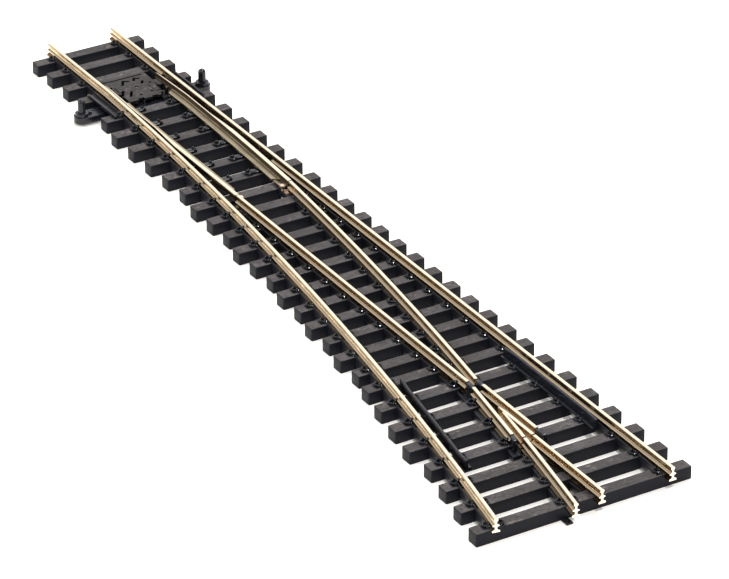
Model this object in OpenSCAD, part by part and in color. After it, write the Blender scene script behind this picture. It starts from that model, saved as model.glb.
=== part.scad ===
// Right-hand model turnout, 9 mm gauge, double-foot rail on a moulded sleeper base.
// +X runs from the toe to the heel along the straight track, +Y is to the left of that,
// +Z is up. The origin is on the straight track's centreline, at the underside of the
// fifteenth sleeper. Shown set for the straight track.

/* [Track] */
// Gauge between the inner faces of the rail heads
gauge = 9; // [8.6:0.1:10.8]
// Length of the straight rails, end to end
track_len = 137; // [132:0.5:170]
// Radius of the curved track's centreline
curve_r = 725; // [680:5:870]
// Where the curve leaves the straight, from the toe end of the rails
set_x = 17; // [16:0.5:18]
// Angle of the bend in the curved stock rail where the curve starts
set_angle = 1.7; // [1.5:0.1:1.9]

/* [Rail] */
// Width of the rail head
head_w = 0.6; // [0.5:0.02:0.66]
// Height of the rail top above the sleepers
rail_up = 1.4; // [1.3:0.01:1.7]
// Depth of the rail foot sunk in the sleepers
rail_sunk = 0.35; // [0.2:0.01:0.4]
// Width of the upper foot
upper_foot_w = 0.84; // [0.76:0.02:0.9]
// Width of the lower foot
lower_foot_w = 0.96; // [0.9:0.02:1]
// Thickness of the rail web
web_w = 0.24; // [0.18:0.01:0.3]

/* [Sleepers] */
// Width of a sleeper along the track
sleeper_w = 1.82; // [1.5:0.02:2.2]
// Height of a sleeper
sleeper_h = 1.7; // [1.6:0.05:2]
// Half length of the shortest sleepers
sleeper_half = 8.2; // [8:0.05:9.8]
// Step by which the longer sleepers grow on the curved side
sleeper_step = 0.97; // [0.9:0.01:1.2]
// First sleeper's centre from the toe end of the rails
first_x = 2.2; // [1.6:0.1:2.4]
// Pitch of the sleepers under the switch blades
switch_pitch = 4.7; // [4.5:0.05:4.8]
// Pitch of the sleepers under the closure rails
closure_pitch = 4.29; // [4.2:0.01:4.32]
// Pitch of the sleepers from the crossing to the heel
crossing_pitch = 4.8; // [4.6:0.05:4.85]
// Distance between the two sleepers either side of the tie bar
tie_gap = 6.7; // [6.4:0.1:7]
// Width of the ribs under the rails that join the sleepers
rib_w = 1.5; // [1.2:0.1:1.7]
// Height of the rail chairs above the sleepers
chair_h = 0.3; // [0.2:0.02:0.34]
// Length of a chair along the rail
chair_len = 1.1; // [0.8:0.1:1.5]
// Reach of a chair either side of the rail's centre
chair_reach = 1.1; // [0.9:0.05:1.14]

/* [Switch] */
// Travel of the tie bar
throw = 0.88; // [0.74:0.01:1.06]
// Tip of the blades from the toe end of the rails
tip_x = 15.4; // [15:0.1:16.2]
// Heel pivot of the blades from the toe end of the rails
pivot_x = 52; // [51.6:0.1:52.4]
// Distance from a blade's running face to its heel pivot
pivot_in = 0.45; // [0.4:0.05:0.6]
// Thickness of the planed part of a blade
blade_t = 0.2; // [0.16:0.02:0.24]
// Length of the planed part of a blade, from its tip
planed_len = 17.6; // [17:0.1:19]
// Width of a blade's flange
flange_w = 0.95; // [0.8:0.05:1.05]
// Thickness of a blade's flange
flange_t = 0.3; // [0.24:0.02:0.34]
// Radius of the heel pivot pins
pin_r = 0.25; // [0.2:0.01:0.3]
// Radial clearance of a blade on its pivot pin
pin_clear = 0.05; // [0.03:0.01:0.08]
// Gap left between a closed blade and its stock rail
blade_gap = 0.03; // [0.02:0.01:0.06]

/* [Tie bar] */
// Centre of the tie bar from the toe end of the rails
tie_x = 18.6; // [18.4:0.1:19]
// Width of the tie bar
tie_w = 2.2; // [1.8:0.1:2.3]
// Thickness of the tie bar where it passes under the rails
tie_t = 0.9; // [0.8:0.05:0.95]
// Distance between the two drive posts
post_span = 18.2; // [17.8:0.1:19]
// Radius of a drive post
post_r = 0.52; // [0.4:0.02:0.6]
// Height of a drive post's top above the sleepers
post_up = 1.85; // [1.6:0.05:2]
// Radius of the lug round a drive post
lug_r = 0.9; // [0.8:0.05:1]

/* [Crossing] */
// Width of the flangeways beside the nose
flangeway = 0.55; // [0.5:0.01:0.6]
// Width of the flangeways beside the check rails
check_way = 0.85; // [0.82:0.01:0.9]
// Thickness of a check rail
check_t = 0.4; // [0.34:0.02:0.44]
// Length of a check rail
check_len = 20; // [18:0.5:21]
// Distance from where the running faces cross to the blunt tip of the nose
nose_back = 3.277; // [3:0.001:4]
// Length of the insulating blocks at the toe of the crossing
block_len = 1.6; // [1.4:0.1:1.8]

/* [Hidden] */
$fn = 48;
e = 0.02;                          // side clearance of a rail foot in its groove
zs = sleeper_h;                    // sleeper tops
zt = sleeper_h + rail_up;          // rail tops
zb = sleeper_h - rail_sunk;        // underside of the rails
rib_top = zb + rail_sunk * 0.8;    // the ribs stand up beside the rail feet
bed_top = zb - 0.03;               // bed under the crossing, clear of the feet
g = gauge / 2;                     // running faces
yc = g + head_w / 2;               // head centres of the straight rails
// the closure sleepers fill the length up to the crossing, and the last ones the length after it
ccx = set_x - curve_r * sin(set_angle);       // centre of the curve
ccy = -curve_r * cos(set_angle);
cross_x = ccx + sqrt(pow(curve_r + g, 2) - pow(-g - ccy, 2));   // the running faces cross here
lead = [4.25, 4.7, 4.45, tie_gap];
cross_in = 5.5333;                              // from the crossing's first sleeper to cross_x
end_in = 2.01;                                // from the last sleeper to the rail ends
closure_span = cross_x - cross_in - 8.5 - first_x - 13.4 - tie_gap - 6 * switch_pitch;
closure_n = round(closure_span / closure_pitch);
heel_span = track_len - end_in - cross_x + cross_in;
heel_n = round(heel_span / crossing_pitch);
gaps = concat(lead, [for (i = [0:5]) switch_pitch],
    [for (i = [1:closure_n]) closure_span / closure_n], [3.95, 4.55],
    [for (i = [1:heel_n]) heel_span / heel_n]);
k = 12 + closure_n;                // first sleeper of the crossing
last_i = k + heel_n;               // last sleeper
steps = [0, 0, 0, 0, 0, 1, 1, 1, 1, 1, 2, 2, 2, 3, 3, 3, 4, 4, 5, 5, 6, 6, 7, 8, 9, 10, 10, 11, 12, 13];
function sum_to(n, i = 0) = i >= n ? 0 : gaps[i] + sum_to(n, i + 1);
function sx(i) = first_x + sum_to(i);
function grown(i) = i < len(steps) ? steps[i] : steps[len(steps) - 1] + i - len(steps) + 1;
// a sleeper reaches its step, or past the curved stock rail where the curve needs it
function left_end(i) = -max(sleeper_half + (yc - 4.8) + sleeper_step * grown(i),
    -arc_y(inner_r, max(sx(i), set_x)) + 2);
right_end = sleeper_half + (yc - 4.8);
origin_x = sx(14);

// the point of a rail of radius r at a place along x
function phi(r, x) = asin((x - ccx) / r);
function arc_y(r, x) = ccy + sqrt(r * r - (x - ccx) * (x - ccx));
inner_r = curve_r - yc;            // curved stock rail
outer_r = curve_r + yc;            // curved closure and heel rails
out_face_r = curve_r + g;          // running face of the outer rail
end_phi = asin((track_len - ccx) / curve_r);
bend_x = set_x - yc * sin(set_angle);   // bend in the curved stock rail

// switch
tip_y = g - blade_gap - blade_t;   // running face of a closed blade at its tip
pivot_yl = -(g - pivot_in);
pivot_yr = arc_y(out_face_r, pivot_x) - pivot_in;
swing = asin(throw / (pivot_x - tie_x));
z_fl = zs + 0.35;                  // underside of a blade
heel_x = pivot_x + 0.5;            // heel end of a blade
joint_gap = 0.15;                  // gap between a blade and its closure rail
step_x = tip_x + planed_len;       // where a blade gets its full head
tab_l = 0.6;                       // drive tab, along and across
tab_w = 0.28;
flange_x0 = tie_x + 1.1;
flange_x1 = pivot_x - 1.7;
function face_l(x) = max(-g, (x < set_x ? -g : arc_y(inner_r + head_w / 2, x)) + blade_gap + blade_t);
function face_r(x) = min(x < set_x ? g : arc_y(out_face_r, x), tip_y);
tab_yl = face_l(tie_x);            // running faces where the drive tabs are
tab_yr = face_r(tie_x);

// tie bar: everything across is measured at rest
tie_top = zb - 0.1;
tie_mid = -throw / 2;
tie_recess = sleeper_h - 0.9;      // top of the tie bar and fourth sleeper under the spring
plate_z = zs - 0.36;               // underside of the spring cover
spring_x = sx(3);
spring_y = 0.3;
spring_len = tie_x - spring_x;
wire_r = 0.14;
wire_clear = 0.1;
spring_z = (tie_recess + plate_z) / 2;

// crossing
wing_l_r = out_face_r - (flangeway - 0.1) - head_w / 2;
wing_r_y = -g + flangeway + head_w / 2;
nose_x = cross_x + nose_back;       // blunt tip of the nose
closure_x1 = sx(k) + 2;
wing_x0 = closure_x1 + block_len;
wing_x1 = wing_x0 + 11.4;
heel_x0 = wing_x1 + 1.5;
check_x0 = sx(k) - 2.7;
check_top = zt - 0.05;
check_r = inner_r + head_w / 2 + check_way + check_t / 2;
check_y = g - check_way - check_t / 2;

metal = [0.80, 0.72, 0.58];
dark = [0.20, 0.20, 0.22];

// ---- helpers -------------------------------------------------------------
module place() { translate([-origin_x, 0, 0]) children(); }
// a box from two corners
module span(a, b) { translate(a) cube([b[0] - a[0], b[1] - a[1], b[2] - a[2]]); }
// a section (across, up) carried along x
module along(x0, x1) {
    translate([x0, 0, 0]) rotate([90, 0, 90]) linear_extrude(height = x1 - x0) children();
}
// a section (outwards from the rail centre, up) carried round the curve at radius r
module around(r, x0, x1, last = 0) {
    a0 = phi(r, x0);
    a1 = last > 0 ? last : phi(r, x1);
    translate([ccx, ccy, 0]) rotate([0, 0, 90 - a1])
        rotate_extrude(angle = a1 - a0, $fn = 1440) translate([r, 0]) children();
}
// half outline of the rail section from the head down, drawn in by k on every side
function half_rail(k) = [[head_w / 2 - k, zt - 0.04 - k], [head_w / 2 - k, zt - 0.3],
    [web_w / 2 - k, zt - 0.42], [web_w / 2 - k, zt - 0.72], [upper_foot_w / 2 - k, zt - 0.82],
    [upper_foot_w / 2 - k, zt - 0.96], [web_w / 2 + 0.03 - k, zt - 1.02],
    [web_w / 2 + 0.03 - k, zb + 0.32], [lower_foot_w / 2 - k, zb + 0.26], [lower_foot_w / 2 - k, zb + k]];
module rail2d(k = 0) {
    h = half_rail(k);
    polygon(concat([[head_w / 2 - 0.05 - k, zt - k]], h,
        [for (i = [len(h) - 1:-1:0]) [-h[i][0], h[i][1]]], [[-head_w / 2 + 0.05 + k, zt - k]]));
}
// the space a rail needs: groove for the foot, and room above it
module groove2d() {
    polygon([[-lower_foot_w / 2 - e, zb], [lower_foot_w / 2 + e, zb], [lower_foot_w / 2 + e, zt],
        [-lower_foot_w / 2 - e, zt]]);
}
module rib2d() { translate([-rib_w / 2, 0.4]) square([rib_w, rib_top - 0.4]); }
module at_y(y) { translate([y, 0]) children(); }
// a strip in plan between two lines given as functions' values
module plan(pts_a, pts_b, z0, z1) {
    translate([0, 0, z0]) linear_extrude(height = z1 - z0)
        polygon(concat(pts_a, [for (i = [len(pts_b) - 1:-1:0]) pts_b[i]]));
}

// ---- moulded base --------------------------------------------------------
module chair(x, y, turn = 0) {
    translate([x, y, 0]) rotate([0, 0, -turn])
        span([-chair_len / 2, -chair_reach, zs - 0.1], [chair_len / 2, chair_reach, zs + chair_h]);
}
module chairs() {
    for (i = [0:last_i]) {
        x = sx(i);
        a = x < set_x ? -yc : arc_y(inner_r, x);
        // stock rails: the inner half makes room for slide chairs beside the blades
        if (i < 3 || i > 9) { chair(x, yc); chair(x, a, x < set_x ? 0 : phi(inner_r, x)); }
        else if (i > 4) {
            span([x - chair_len / 2, yc, zs - 0.1], [x + chair_len / 2, yc + chair_reach, zs + chair_h]);
            span([x - chair_len / 2, a - chair_reach, zs - 0.1], [x + chair_len / 2, a, zs + chair_h]);
        }
        // slide chairs
        if (i > 3 && i < 10) {
            span([x - 0.5, -g + 0.2, zs - 0.1], [x + 0.5, -g + 2.1, z_fl - 0.05]);
            span([x - 0.5, arc_y(out_face_r, x) - 2.1, zs - 0.1],
                [x + 0.5, min(arc_y(out_face_r, x), tip_y) - 0.1, z_fl - 0.05]);
        }
        // closure rails
        if (i > 11 && i < k) { chair(x, -yc); chair(x, arc_y(outer_r, x), phi(outer_r, x)); }
        if (i == k) {
            span([x - chair_len / 2, -yc - chair_reach, zs - 0.1], [x + chair_len / 2, -yc, zs + chair_h]);
            span([x - chair_len / 2, arc_y(outer_r, x), zs - 0.1],
                [x + chair_len / 2, arc_y(outer_r, x) + chair_reach, zs + chair_h]);
        }
        // wing rails, outer sides only
        if (i > k && i < k + 4) {
            yl = arc_y(wing_l_r, x);
            span([x - chair_len / 2, yl - chair_reach, zs - 0.1], [x + chair_len / 2, yl, zs + chair_h]);
            span([x - chair_len / 2, wing_r_y, zs - 0.1],
                [x + chair_len / 2, wing_r_y + chair_reach, zs + chair_h]);
        }
        // heel rails
        if (i > k + 3) {
            yb = arc_y(outer_r, x);
            span([x - chair_len / 2, yb - chair_reach, zs - 0.1], [x + chair_len / 2, yb, zs + chair_h]);
            span([x - chair_len / 2, -yc, zs - 0.1], [x + chair_len / 2, -yc + chair_reach, zs + chair_h]);
        }
    }
}
module ribs() {
    x4 = sx(3);
    x5 = sx(4);
    x30 = sx(last_i);
    along(sx(0), x4) at_y(yc) rib2d();
    along(sx(0), x4) at_y(-yc) rib2d();
    along(x5, x30) at_y(yc) rib2d();
    around(inner_r, x5, x30) rib2d();
    along(sx(10), closure_x1) at_y(-yc) rib2d();
    around(outer_r, sx(10), closure_x1) rib2d();
    along(heel_x0, x30) at_y(-yc) rib2d();
    around(outer_r, heel_x0, x30) rib2d();
    // bed under the crossing
    plan([[closure_x1 - 1, -yc - 0.9], [heel_x0 + 0.6, arc_y(wing_l_r, heel_x0) - 0.9]],
        [[closure_x1 - 1, wing_r_y + 0.75], [heel_x0 + 0.6, wing_r_y + 0.75]], 0.5, bed_top);
    // plates that carry the heel pivots, between the eleventh and twelfth sleepers
    span([sx(10), pivot_yr - 0.4, 0.9], [sx(11), pivot_yr + 0.35, zs]);
    span([sx(10), pivot_yl - 0.35, 0.9], [sx(11), pivot_yl + 0.4, zs]);
    // locating tab at the heel, level with the floor
    span([x30, arc_y(outer_r, x30) - 1.3, 0], [x30 + sleeper_w / 2 + 1.3, arc_y(outer_r, x30) - 0.4, 0.25]);
}
module sleeper_base() color(dark) place() difference() {
    union() {
        for (i = [0:last_i]) span([sx(i) - sleeper_w / 2, left_end(i), 0],
            [sx(i) + sleeper_w / 2, right_end, sleeper_h]);
        chairs();
        ribs();
    }
    // grooves for the rails
    along(-1, track_len + 1) at_y(yc) groove2d();
    along(-1, set_x + 0.05) at_y(-yc) groove2d();
    around(inner_r, set_x, track_len, last = end_phi + 0.2) groove2d();
    along(heel_x + joint_gap - 1, closure_x1 + 0.5) at_y(-yc) groove2d();
    around(outer_r, heel_x + joint_gap - 1, closure_x1 + 0.5) groove2d();
    around(wing_l_r, wing_x0 - 0.6, wing_x1 + 1.4) groove2d();
    along(wing_x0 - 0.6, wing_x1 + 1.8) at_y(wing_r_y) groove2d();
    along(nose_x - 0.3, track_len + 1) at_y(-yc) groove2d();
    around(outer_r, nose_x + 0.8, track_len, last = end_phi + 0.4) groove2d();
    // recess for the spring, and the seat of its cover
    span([sx(3) - sleeper_w, -2.7, tie_recess], [sx(3) + sleeper_w, 2.7, zs + 1]);
    span([sx(3) - sleeper_w, -3.8, plate_z], [sx(3) + sleeper_w, 3.2, zs + 1]);
    translate([spring_x, spring_y, -1]) cylinder(r = wire_r + wire_clear, h = 3);
    // holes for the pivot pins
    translate([pivot_x, pivot_yl, 0.5]) cylinder(r = pin_r, h = 2);
    translate([pivot_x, pivot_yr, 0.5]) cylinder(r = pin_r, h = 2);
    // pockets for rail joiners under the rail ends
    for (y = [yc, -yc]) {
        span([sx(last_i) - 0.1, y - 0.75, 0.4], [sx(last_i) + 2, y + 0.75, zb + 0.01]);
        span([sx(0) - 2, y - 0.75, 0.4], [sx(0) + 0.1, y + 0.75, zb + 0.01]);
    }
    span([sx(last_i) - 0.1, arc_y(inner_r, sx(last_i)) - 0.95, 0.4],
        [sx(last_i) + 2, arc_y(inner_r, sx(last_i)) + 0.75, zb + 0.01]);
    span([sx(last_i) - 0.1, arc_y(outer_r, sx(last_i)) - 0.95, 0.4],
        [sx(last_i) + 2, arc_y(outer_r, sx(last_i)) + 0.75, zb + 0.01]);
}

// ---- rails ---------------------------------------------------------------
module straight_stock_rail() color(metal) place() difference() {
    along(0, track_len) at_y(yc) rail2d();
    // the inner upper foot is cut away beside the blade
    span([tip_x - 0.4, yc - 1, zt - 1.06], [step_x + 12, yc - web_w / 2 - 0.05, zt - 0.66]);
}
module curved_stock_rail() color(metal) place() difference() {
    h = web_w / 2 + 0.05;
    union() {
        along(0, bend_x - 0.15) at_y(-yc) rail2d();
        around(inner_r, bend_x + 0.15, track_len, last = end_phi) rail2d();
        // a shallow nick all round marks the bend
        along(bend_x - 0.4, bend_x + 0.4) at_y(-yc) rail2d(0.03);
    }
    span([tip_x - 0.4, -yc + h, zt - 1.06], [bend_x - 0.1, -yc + 1, zt - 0.66]);
    around(inner_r, bend_x + 0.05, step_x + 12) translate([h, zt - 1.06]) square([1, 0.4]);
}
module straight_closure_rail() color(metal) place()
    along(heel_x + joint_gap, closure_x1) at_y(-yc) rail2d();
module curved_closure_rail() color(metal) place()
    around(outer_r, heel_x + joint_gap, closure_x1) rail2d();
module left_wing_rail() color(metal) place() around(wing_l_r, wing_x0, wing_x1) rail2d();
module right_wing_rail() color(metal) place() along(wing_x0, wing_x1 + 0.2) at_y(wing_r_y) rail2d();
module crossing_nose() color(metal) place() difference() {
    union() {
        along(nose_x, heel_x0 - 0.3) at_y(-yc) rail2d();
        around(outer_r, nose_x + 1.4, heel_x0 - 0.3) rail2d();
    }
    // planed on the curved side so that the flangeway stays open
    around(out_face_r - 1, nose_x - 1, nose_x + 6) translate([-0.2, zb + 0.4]) square([1.2, 3]);
}
module straight_heel_rail() color(metal) place() along(heel_x0, track_len) at_y(-yc) rail2d();
module curved_heel_rail() color(metal) place()
    around(outer_r, heel_x0, track_len, last = end_phi) rail2d();

// ---- plastic pieces at the crossing --------------------------------------
module block(xa, ya, xb, yb, z0, z1) {
    plan([[xa, ya - head_w / 2], [xb, yb - head_w / 2]], [[xa, ya + head_w / 2], [xb, yb + head_w / 2]],
        z0, z1);
}
module closure_insulator_left() color(dark) place()
    block(closure_x1 + 0.06, -yc, wing_x0 - 0.09, arc_y(wing_l_r, wing_x0), bed_top, zt - 0.06);
module closure_insulator_right() color(dark) place()
    block(closure_x1 + 0.09, arc_y(outer_r, closure_x1), wing_x0 - 0.06, wing_r_y, bed_top,
        zt - 0.06);
module wing_block_left() color(dark) place()
    block(wing_x1 + 0.12, arc_y(wing_l_r, wing_x1) - 0.03, heel_x0 - 0.2,
        arc_y(wing_l_r, heel_x0 - 0.2) - 0.12, zb, zt - 0.1);
module wing_block_right() color(dark) place()
    block(wing_x1 + 0.26, wing_r_y, heel_x0 + 0.5, wing_r_y + 0.06, zb, zt - 0.1);

module check2d(side) {
    // a wall with a ledge on the side away from the stock rail
    polygon([[-check_t / 2, zs], [check_t / 2, zs], [check_t / 2, check_top], [-check_t / 2, check_top]]);
    translate([side > 0 ? check_t / 2 - 0.01 : -check_t / 2 - 0.44, zs]) square([0.45, 0.34]);
}
module check_rail_left() color(dark) place() {
    flare = 4;
    around(check_r, check_x0 + 2.2, check_x0 + check_len - 2.2) check2d(1);
    for (s = [0, 1]) {
        x = s == 0 ? check_x0 + 2.25 : check_x0 + check_len - 2.25;
        a = phi(check_r, x);
        translate([x, arc_y(check_r, x), 0]) rotate([0, 0, -a + (s == 0 ? -flare : flare)])
            along(s == 0 ? -2.25 : 0, s == 0 ? 0 : 2.25) check2d(1);
    }
    // bolted brackets
    for (i = [k:k + 3]) translate([sx(i), arc_y(check_r, sx(i)), 0]) rotate([0, 0, -phi(check_r, sx(i))])
        span([-0.45, check_t / 2 - 0.01, zs], [0.45, check_t / 2 + 0.65, zs + 0.55]);
}
module check_rail_right() color(dark) place() {
    flare = 4;
    along(check_x0 + 2.2, check_x0 + check_len - 2.2) at_y(check_y) check2d(-1);
    for (s = [0, 1]) {
        x = s == 0 ? check_x0 + 2.25 : check_x0 + check_len - 2.25;
        translate([x, check_y, 0]) rotate([0, 0, s == 0 ? flare : -flare])
            along(s == 0 ? -2.25 : 0, s == 0 ? 0 : 2.25) check2d(-1);
    }
    for (i = [k:k + 3])
        span([sx(i) - 0.45, check_y - check_t / 2 - 0.65, zs], [sx(i) + 0.45, check_y - check_t / 2 + 0.01, zs + 0.55]);
}

// ---- toe end: bridges, spring cover --------------------------------------
module bridge2d() {
    w = 1.3;
    polygon([[0, zs], [w, zs], [w, zs + 0.45], [w - 0.3, zs + 0.45], [w - 0.3, zs + 0.15],
        [0.3, zs + 0.15], [0.3, zs + 0.45], [0, zs + 0.45]]);
}
bridge_in = yc + lower_foot_w / 2 + 0.12;
module rail_bridge_left() color(dark) place() mirror([0, 1, 0])
    along(sx(3) - 0.7, sx(4) + 0.6) at_y(bridge_in + 0.1) bridge2d();
module rail_bridge_right() color(dark) place()
    along(sx(3) - 0.7, sx(4) + 0.6) at_y(bridge_in) bridge2d();

module spring_cover() color(dark) place() difference() {
    union() {
        span([sx(2) + sleeper_w / 2, -3.8, plate_z], [sx(3) + sleeper_w / 2, 3.2, zs + 0.02]);
        span([sx(3), -2.7, plate_z], [tie_x + 0.7, 2.7, zs + 0.02]);
        // raised rib across the plate
        span([sx(2) + sleeper_w / 2, -3.2, zs], [sx(2) + sleeper_w / 2 + 0.5, 2.6, zs + 0.14]);
        // low pads that stiffen the plate
        span([sx(3) + 0.2, 1.9, zs], [tie_x - 0.6, 2.7, zs + 0.1]);
        span([sx(3) - 1, -2.6, zs], [sx(3) + 0.5, -1.7, zs + 0.1]);
    }
    // keyhole for the spring's end, slots and small holes
    translate([spring_x, spring_y, 0]) cylinder(r = wire_r + wire_clear, h = 4);
    for (q = [[12.9, 1.1, 1.0], [14.2, 1.7, 1.0], [13.0, -0.6, 1.5], [16.4, -1.1, 1.7], [15.9, -2.1, 1.5]])
        translate([q[0] + set_x - 17, q[1], 0]) rotate([0, 0, -31]) span([0, 0, 1], [q[2], 0.36, 4]);
    // two of the slots turn a corner
    for (q = [[12.9, 1.1], [13.0, -0.6]])
        translate([q[0] + set_x - 17, q[1], 0]) rotate([0, 0, -31]) span([0, 0.3, 1], [0.36, 1.0, 4]);
    for (q = [[14.3, -2.9], [17.7, 1.5], [15.3, 2.5], [18, -0.3]])
        translate([q[0] + set_x - 17, q[1], 0]) cylinder(r = 0.2, h = 4);
    // stepped front edge
    span([tie_x + 0.3, -1.3, 1], [tie_x + 1, -0.4, 4]);
    span([tie_x + 0.45, 0.8, 1], [tie_x + 1, 1.6, 4]);
    span([tie_x + 0.1, 2.2, 1], [tie_x + 1, 3, 4]);
}

// ---- heel pivots ---------------------------------------------------------
module heel_pivot_pins() color(metal) place() {
    for (y = [pivot_yl, pivot_yr]) translate([pivot_x, y, 0]) {
        translate([0, 0, 0.5]) cylinder(r = pin_r, h = z_fl + 0.24 - 0.5);
        translate([0, 0, z_fl + 0.24]) cylinder(r = pin_r + 0.12, h = 0.12);
    }
}
// a bent metal tab from the closure rail's foot, on which the blade's heel makes contact
module contact_tab(y, s) {
    span([pivot_x + 0.85, y - 0.25, zs], [pivot_x + 1.4, y + 0.25, zs + 0.16]);
    span([pivot_x + 0.85, y - 0.25, zs + 0.14], [pivot_x + 1.0, y + 0.25, zs + 0.45]);
}
module heel_contact_left() color(metal) place() contact_tab(pivot_yl + 0.05, 1);
module heel_contact_right() color(metal) place() contact_tab(pivot_yr - 0.05, -1);

// ---- moving parts --------------------------------------------------------
module tie_bar() color(dark) place() difference() {
    z0 = tie_top - tie_t;
    union() {
        translate([tie_x - tie_w / 2, -post_span / 2 + tie_mid, z0]) cube([tie_w, post_span, tie_t]);
        for (s = [-1, 1]) translate([tie_x, s * post_span / 2 + tie_mid, 0]) {
            translate([0, 0, z0]) cylinder(r = lug_r, h = zs - 0.05 - z0);
            translate([0, 0, z0]) cylinder(r = tie_w / 2, h = tie_t);
            cylinder_post();
            // small pip beside the post
            translate([0, -s * 1.25, tie_top - 0.1]) cylinder(r = 0.22, h = 0.35);
        }
    }
    // recess under the spring, and its hole
    span([tie_x - tie_w, -2.7 + tie_mid, tie_recess - 0.08], [tie_x + tie_w, 2.7 + tie_mid, zs]);
    translate([tie_x, spring_y + tie_mid, -1]) cylinder(r = wire_r + wire_clear, h = 3);
    // slots for the blades' drive tabs
    span([tie_x - tab_l / 2 - 0.1, tab_yl - 0.06, z0 - 1], [tie_x + tab_l / 2 + 0.1, tab_yl + tab_w + 0.06, zs]);
    span([tie_x - tab_l / 2 - 0.1, tab_yr - throw - tab_w - 0.06, z0 - 1],
        [tie_x + tab_l / 2 + 0.1, tab_yr - throw + 0.06, zs]);
}
module cylinder_post() {
    translate([0, 0, tie_top - 0.2]) cylinder(r = post_r, h = zs + post_up - post_r - tie_top + 0.2);
    translate([0, 0, zs + post_up - post_r]) sphere(r = post_r);
}
// a blade, closed: s = 1 puts the flange on the +Y side
function line(xs, s, left, off) = [for (x = xs) [x, (left ? face_l(x) : face_r(x)) + s * off]];
function run(a, b, n) = [for (i = [0:n]) a + (b - a) * i / n];
module blade(left) {
    s = left ? 1 : -1;
    xs = concat([tip_x], run(set_x, set_x + 8, 6), run(step_x - 4, heel_x, 8));
    xh = run(step_x, heel_x, 7);
    xf = concat(run(flange_x0, set_x + 8, 3), run(set_x + 11, flange_x1, 8));
    py = left ? pivot_yl : pivot_yr;
    difference() {
        union() {
            plan(line(xs, s, left, -blade_t), line(xs, s, left, 0), z_fl, zt);
            plan(line(xh, s, left, -head_w), line(xh, s, left, -0.01), zt - 0.4, zt);
            plan(line(xf, s, left, -0.01), line(xf, s, left, flange_w), z_fl, z_fl + flange_t);
            // heel eye on a short tongue
            translate([pivot_x, py, z_fl]) cylinder(r = pin_r + pin_clear + 0.16, h = 0.2);
            span([flange_x1 - 0.4, py - 0.3, z_fl], [pivot_x, py + 0.3, z_fl + 0.2]);
            // drive tab
            span([tie_x - tab_l / 2, left ? tab_yl : tab_yr - tab_w, tie_top - tie_t + 0.35],
                [tie_x + tab_l / 2, left ? tab_yl + tab_w : tab_yr, z_fl + 0.2]);
        }
        translate([pivot_x, py, 0]) cylinder(r = pin_r + pin_clear, h = z_fl + 0.22);
        translate([pivot_x, py, z_fl + 0.2]) cylinder(r = pin_r + 0.22, h = 0.3);
    }
}
module straight_switch_blade() color(metal) place() blade(true);
module curved_switch_blade() color(metal) place()
    translate([pivot_x, pivot_yr, 0]) rotate([0, 0, swing]) translate([-pivot_x, -pivot_yr, 0]) blade(false);
module over_centre_spring() color(metal) place()
    translate([spring_x, spring_y, 0]) rotate([0, 0, -asin(throw / 2 / spring_len)]) {
        ring = 0.7;
        mid = spring_len / 2;
        translate([0, 0, 0.2]) cylinder(r = wire_r, h = zs - 0.3);
        translate([spring_len, 0, 0.3]) cylinder(r = wire_r, h = spring_z + wire_r - 0.3);
        translate([mid, 0, spring_z]) rotate_extrude() translate([ring, 0]) circle(r = wire_r);
        translate([0, 0, spring_z]) rotate([0, 90, 0]) cylinder(r = wire_r, h = mid - ring);
        translate([mid + ring, 0, spring_z]) rotate([0, 90, 0]) cylinder(r = wire_r, h = mid - ring);
    }

sleeper_base();
straight_stock_rail();
curved_stock_rail();
straight_closure_rail();
curved_closure_rail();
left_wing_rail();
right_wing_rail();
crossing_nose();
straight_heel_rail();
curved_heel_rail();
closure_insulator_left();
closure_insulator_right();
wing_block_left();
wing_block_right();
check_rail_left();
check_rail_right();
rail_bridge_left();
rail_bridge_right();
spring_cover();
heel_pivot_pins();
heel_contact_left();
heel_contact_right();
tie_bar();
straight_switch_blade();
curved_switch_blade();
over_centre_spring();
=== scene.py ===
"""A right-hand model turnout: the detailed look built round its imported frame.

Lengths in this script are in millimetres in the frame's own axes, and are turned into metres
when a mesh is made. +X runs from the toe to the heel, +Y to the left, +Z up.
"""
import math

import bmesh
import bpy
import numpy as np
from mathutils import Matrix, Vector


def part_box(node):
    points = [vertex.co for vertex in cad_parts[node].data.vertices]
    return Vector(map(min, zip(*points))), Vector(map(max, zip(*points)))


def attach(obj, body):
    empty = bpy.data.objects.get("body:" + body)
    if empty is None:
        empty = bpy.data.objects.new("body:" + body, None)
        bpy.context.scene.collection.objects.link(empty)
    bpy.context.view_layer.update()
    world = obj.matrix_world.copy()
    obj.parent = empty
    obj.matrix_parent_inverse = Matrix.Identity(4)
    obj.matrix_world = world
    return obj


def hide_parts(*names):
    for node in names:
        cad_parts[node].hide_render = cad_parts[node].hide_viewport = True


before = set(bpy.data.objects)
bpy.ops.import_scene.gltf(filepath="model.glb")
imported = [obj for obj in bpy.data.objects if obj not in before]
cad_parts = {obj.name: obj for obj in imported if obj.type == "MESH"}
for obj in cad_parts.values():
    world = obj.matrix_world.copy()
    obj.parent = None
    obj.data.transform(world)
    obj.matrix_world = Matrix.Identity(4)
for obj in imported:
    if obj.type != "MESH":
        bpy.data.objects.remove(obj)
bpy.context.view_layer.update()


# ---- the track's layout, from the frame ---------------------------------------------------

def span(node):
    """Lowest and highest corners of a node, in millimetres."""
    low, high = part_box(node)
    return np.array(low) * 1000, np.array(high) * 1000


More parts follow.
